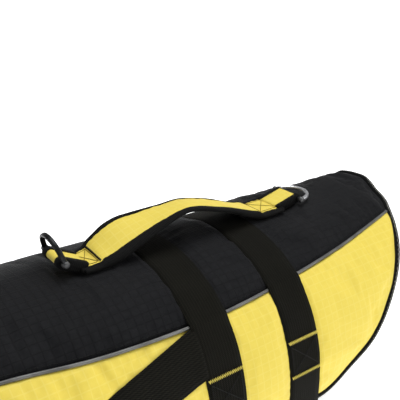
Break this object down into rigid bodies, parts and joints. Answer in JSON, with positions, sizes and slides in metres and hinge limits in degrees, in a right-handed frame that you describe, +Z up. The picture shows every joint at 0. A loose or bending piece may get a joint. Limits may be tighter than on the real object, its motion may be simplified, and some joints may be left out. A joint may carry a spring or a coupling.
{
  "type": "dog buoyancy vest",
  "caption": "Padded foam buoyancy vest for a large dog, with a grab handle and lead rings on the back, webbing girth straps, a chest strap with pad and side-release buckles.",
  "frame": {"origin": "on the axis of the dog's trunk, midway between the two girth straps", "axes": "+X towards the tail, +Y towards the dog's right, +Z up out of the back"},
  "size_m": [0.6574, 0.2636, 0.3111],
  "materials": {
    "black_webbing": "ribbed woven polyester webbing",
    "closed_cell_foam": "closed-cell polyethylene foam",
    "yellow_ripstop": "coated ripstop, neon yellow",
    "black_ripstop": "coated ripstop, satin sheen",
    "black_lining": "plain woven nylon lining",
    "black_binding": "folded woven tape",
    "reflective_piping": "reflective coated piping",
    "yellow_thread": "polyester thread",
    "black_elastic": "woven elastic",
    "ring_steel": "black-nickel plated steel wire",
    "black_acetal": "moulded acetal"
  },
  "bodies": {
    "vest": {"back_foam": "closed_cell_foam", "back_lining": "black_lining", "back_panel": "black_ripstop", "chest_buckle_housing": "black_acetal", "chest_keeper": "black_elastic", "chest_pad_cover": "yellow_ripstop", "chest_pad_foam": "closed_cell_foam", "chest_plug_webbing": "black_webbing", "chest_strap_left": "black_webbing", "chest_strap_right": "black_webbing", "chest_tail": "black_webbing", "front_bar_stitches": "yellow_thread", "front_buckle_housing": "black_acetal", "front_keeper": "black_elastic", "front_plug_webbing": "black_webbing", "front_ring_tab": "yellow_ripstop", "front_strap_back": "black_webbing", "front_strap_left": "black_webbing", "front_strap_right": "black_webbing", "front_tail": "black_webbing", "handle_binding": "black_binding", "handle_core": "closed_cell_foam", "handle_cover": "yellow_ripstop", "handle_stitching": "yellow_thread", "handle_webbing": "black_webbing", "left_flank_binding": "black_binding", "left_flank_foam": "closed_cell_foam", "left_flank_lining": "black_lining", "left_flank_panel": "yellow_ripstop", "left_piping": "reflective_piping", "neck_binding": "black_binding", "rear_bar_stitches": "yellow_thread", "rear_binding": "black_binding", "rear_buckle_housing": "black_acetal", "rear_keeper": "black_elastic", "rear_plug_webbing": "black_webbing", "rear_ring_tab": "yellow_ripstop", "rear_strap_back": "black_webbing", "rear_strap_left": "black_webbing", "rear_strap_right": "black_webbing", "rear_tail": "black_webbing", "right_flank_binding": "black_binding", "right_flank_foam": "closed_cell_foam", "right_flank_lining": "black_lining", "right_flank_panel": "yellow_ripstop", "right_piping": "reflective_piping"},
    "front_buckle_plug": {"front_buckle_plug": "black_acetal"},
    "front_buckle_rear_arm": {"front_buckle_rear_arm": "black_acetal"},
    "front_buckle_front_arm": {"front_buckle_front_arm": "black_acetal"},
    "rear_buckle_plug": {"rear_buckle_plug": "black_acetal"},
    "rear_buckle_rear_arm": {"rear_buckle_rear_arm": "black_acetal"},
    "rear_buckle_front_arm": {"rear_buckle_front_arm": "black_acetal"},
    "chest_buckle_plug": {"chest_buckle_plug": "black_acetal"},
    "chest_buckle_lower_arm": {"chest_buckle_lower_arm": "black_acetal"},
    "chest_buckle_upper_arm": {"chest_buckle_upper_arm": "black_acetal"},
    "front_ring": {"front_ring": "ring_steel"},
    "rear_ring": {"rear_ring": "ring_steel"}
  },
  "joints": [
    {"name": "front_buckle_release", "type": "slide", "parent": "vest", "child": "front_buckle_plug", "axis": [0, 1, 0], "range_m": [0, 0.032], "deforming": ["front_plug_webbing", "front_buckle_rear_arm", "front_buckle_front_arm"]},
    {"name": "front_buckle_rear_arm_squeeze", "type": "hinge", "parent": "front_buckle_plug", "child": "front_buckle_rear_arm", "pos_m": [-0.0331, 0.0065, -0.13758], "axis": [0, 0, -1], "range_deg": [0, 11], "stiffness_Nm_per_rad": 0.12},
    {"name": "front_buckle_front_arm_squeeze", "type": "hinge", "parent": "front_buckle_plug", "child": "front_buckle_front_arm", "pos_m": [-0.0611, 0.0065, -0.13758], "axis": [0, 0, 1], "range_deg": [0, 11], "stiffness_Nm_per_rad": 0.12},
    {"name": "rear_buckle_release", "type": "slide", "parent": "vest", "child": "rear_buckle_plug", "axis": [0, 1, 0], "range_m": [0, 0.032], "deforming": ["rear_plug_webbing", "rear_buckle_rear_arm", "rear_buckle_front_arm"]},
    {"name": "rear_buckle_rear_arm_squeeze", "type": "hinge", "parent": "rear_buckle_plug", "child": "rear_buckle_rear_arm", "pos_m": [0.0611, 0.0065, -0.13758], "axis": [0, 0, -1], "range_deg": [0, 11], "stiffness_Nm_per_rad": 0.12},
    {"name": "rear_buckle_front_arm_squeeze", "type": "hinge", "parent": "rear_buckle_plug", "child": "rear_buckle_front_arm", "pos_m": [0.0331, 0.0065, -0.13758], "axis": [0, 0, 1], "range_deg": [0, 11], "stiffness_Nm_per_rad": 0.12},
    {"name": "chest_buckle_release", "type": "slide", "parent": "vest", "child": "chest_buckle_plug", "axis": [0, 1, 0], "range_m": [0, 0.032], "deforming": ["chest_plug_webbing", "chest_buckle_lower_arm", "chest_buckle_upper_arm"]},
    {"name": "chest_buckle_lower_arm_squeeze", "type": "hinge", "parent": "chest_buckle_plug", "child": "chest_buckle_lower_arm", "pos_m": [-0.38294, 0.0065, -0.0286], "axis": [-0.9636, 0, -0.2672], "range_deg": [0, 11], "stiffness_Nm_per_rad": 0.12},
    {"name": "chest_buckle_upper_arm_squeeze", "type": "hinge", "parent": "chest_buckle_plug", "child": "chest_buckle_upper_arm", "pos_m": [-0.39043, 0.0065, -0.00162], "axis": [0.9636, 0, 0.2672], "range_deg": [0, 11], "stiffness_Nm_per_rad": 0.12},
    {"name": "front_ring_swing", "type": "hinge", "parent": "vest", "child": "front_ring", "pos_m": [-0.142, 0, 0.1442], "axis": [0, 1, 0], "range_deg": [-92, 78]},
    {"name": "rear_ring_swing", "type": "hinge", "parent": "vest", "child": "rear_ring", "pos_m": [0.139, 0, 0.1372], "axis": [0, 1, 0], "range_deg": [-150, 8]}
  ]
}
